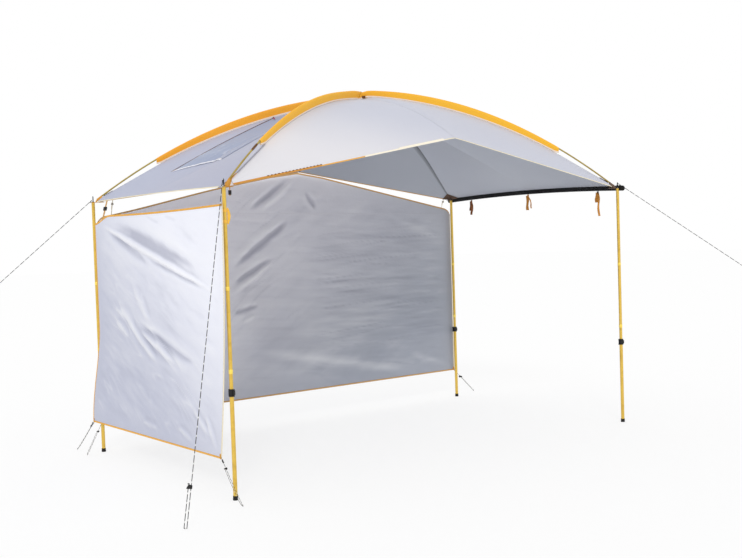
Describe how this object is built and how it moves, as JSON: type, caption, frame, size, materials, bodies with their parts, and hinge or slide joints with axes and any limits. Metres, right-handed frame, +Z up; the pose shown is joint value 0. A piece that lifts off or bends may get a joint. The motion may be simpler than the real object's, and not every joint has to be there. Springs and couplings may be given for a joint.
{
  "type": "car awning",
  "caption": "Free-standing car awning with a domed canopy on crossed arch poles, telescopic legs, a left and a back wall, and a strip of ties for a vehicle.",
  "frame": {"origin": "on the ground below the middle of the awning, measured without its cords; it stands at the middle of the four feet, moved 17 mm in X and 10 mm in Y by the walls' folds", "axes": "+X from the wall side to the vehicle side, +Y from the open front to the back wall, +Z up"},
  "size_m": [5.6009, 3.4796, 2.8294],
  "materials": {
    "gold_tube": "gold anodised, satin",
    "black_plastic": "matt",
    "foot_rubber": "matt",
    "orange_webbing": "woven webbing",
    "sleeve_cloth": "woven cloth",
    "canopy_cloth": "silver coated cloth",
    "wall_cloth": "silver coated cloth",
    "strip_webbing": "webbing",
    "guy_line": "braided cord"
  },
  "bodies": {
    "canopy": {"arch_pole_lower": "gold_tube", "arch_pole_upper": "gold_tube", "corner_pocket_back_left": "orange_webbing", "corner_pocket_back_right": "orange_webbing", "corner_pocket_front_left": "orange_webbing", "corner_pocket_front_right": "orange_webbing", "crossing_clip": "black_plastic", "front_wall_buckle": "black_plastic", "guy_line_back_left": "guy_line", "guy_line_front_left": "guy_line", "guy_line_front_right": "guy_line", "leg_inner_section_back_left": "gold_tube", "leg_inner_section_back_right": "gold_tube", "leg_inner_section_front_left": "gold_tube", "leg_inner_section_front_right": "gold_tube", "leg_top_section_back_left": "gold_tube", "leg_top_section_back_right": "gold_tube", "leg_top_section_front_left": "gold_tube", "leg_top_section_front_right": "gold_tube", "roof_back": "canopy_cloth", "roof_front": "canopy_cloth", "roof_left": "canopy_cloth", "roof_right": "canopy_cloth", "sleeve_lower_arch": "sleeve_cloth", "sleeve_upper_arch_back": "sleeve_cloth", "sleeve_upper_arch_front": "sleeve_cloth", "vehicle_strip": "strip_webbing", "vent_hood": "canopy_cloth", "wall_back": "wall_cloth", "wall_buckle_back_left": "black_plastic", "wall_buckle_back_right": "black_plastic", "wall_buckle_left": "black_plastic", "wall_cord_back_left": "guy_line", "wall_cord_back_right": "guy_line", "wall_cord_left_back": "guy_line", "wall_cord_left_front": "guy_line", "wall_left": "wall_cloth", "wall_leg_loop": "orange_webbing"},
    "lower_leg_front_left": {"leg_lower_tube_front_left": "gold_tube", "leg_clamp_front_left": "black_plastic", "leg_foot_front_left": "foot_rubber"},
    "lever_front_left": {"clamp_lever_front_left": "black_plastic"},
    "lower_leg_back_left": {"leg_lower_tube_back_left": "gold_tube", "leg_clamp_back_left": "black_plastic", "leg_foot_back_left": "foot_rubber"},
    "lever_back_left": {"clamp_lever_back_left": "black_plastic"},
    "lower_leg_front_right": {"leg_lower_tube_front_right": "gold_tube", "leg_clamp_front_right": "black_plastic", "leg_foot_front_right": "foot_rubber"},
    "lever_front_right": {"clamp_lever_front_right": "black_plastic"},
    "lower_leg_back_right": {"leg_lower_tube_back_right": "gold_tube", "leg_clamp_back_right": "black_plastic", "leg_foot_back_right": "foot_rubber"},
    "lever_back_right": {"clamp_lever_back_right": "black_plastic"},
    "tie_1": {"strip_tie_1": "orange_webbing"},
    "tie_2": {"strip_tie_2": "orange_webbing"},
    "tie_3": {"strip_tie_3": "orange_webbing"},
    "runner": {"guy_runner": "black_plastic"}
  },
  "joints": [
    {"name": "leg_slide_front_left", "type": "slide", "parent": "canopy", "child": "lower_leg_front_left", "axis": [0, 0, -1], "range_m": [-0.09, 0.35]},
    {"name": "leg_slide_back_left", "type": "slide", "parent": "canopy", "child": "lower_leg_back_left", "axis": [0, 0, -1], "range_m": [-0.09, 0.35]},
    {"name": "leg_slide_front_right", "type": "slide", "parent": "canopy", "child": "lower_leg_front_right", "axis": [0, 0, -1], "range_m": [-0.09, 0.35]},
    {"name": "leg_slide_back_right", "type": "slide", "parent": "canopy", "child": "lower_leg_back_right", "axis": [0, 0, -1], "range_m": [-0.09, 0.35]},
    {"name": "clamp_hinge_front_left", "type": "hinge", "parent": "lower_leg_front_left", "child": "lever_front_left", "pos_m": [-1.87788, -1.106, 0.69], "axis": [0, 0, -1], "range_deg": [0, 100]},
    {"name": "clamp_hinge_back_left", "type": "hinge", "parent": "lower_leg_back_left", "child": "lever_back_left", "pos_m": [-1.86488, 1.03748, 0.69], "axis": [0, 0, -1], "range_deg": [0, 100]},
    {"name": "clamp_hinge_front_right", "type": "hinge", "parent": "lower_leg_front_right", "child": "lever_front_right", "pos_m": [1.88612, -1.08, 0.69], "axis": [0, 0, -1], "range_deg": [0, 100]},
    {"name": "clamp_hinge_back_right", "type": "hinge", "parent": "lower_leg_back_right", "child": "lever_back_right", "pos_m": [1.88612, 1.06, 0.69], "axis": [0, 0, -1], "range_deg": [0, 100]},
    {"name": "tie_swing_1", "type": "hinge", "parent": "canopy", "child": "tie_1", "pos_m": [1.92742, 0.77, 1.99008], "axis": [0, 1, 0], "range_deg": [-60, 60]},
    {"name": "tie_swing_2", "type": "hinge", "parent": "canopy", "child": "tie_2", "pos_m": [1.92742, -0.01, 2.00428], "axis": [0, 1, 0], "range_deg": [-60, 60]},
    {"name": "tie_swing_3", "type": "hinge", "parent": "canopy", "child": "tie_3", "pos_m": [1.92742, -0.85, 1.98785], "axis": [0, 1, 0], "range_deg": [-60, 60]},
    {"name": "runner_slide", "type": "slide", "parent": "canopy", "child": "runner", "axis": [-0.2547, -0.192, -0.9478], "range_m": [0, 0.12]}
  ]
}
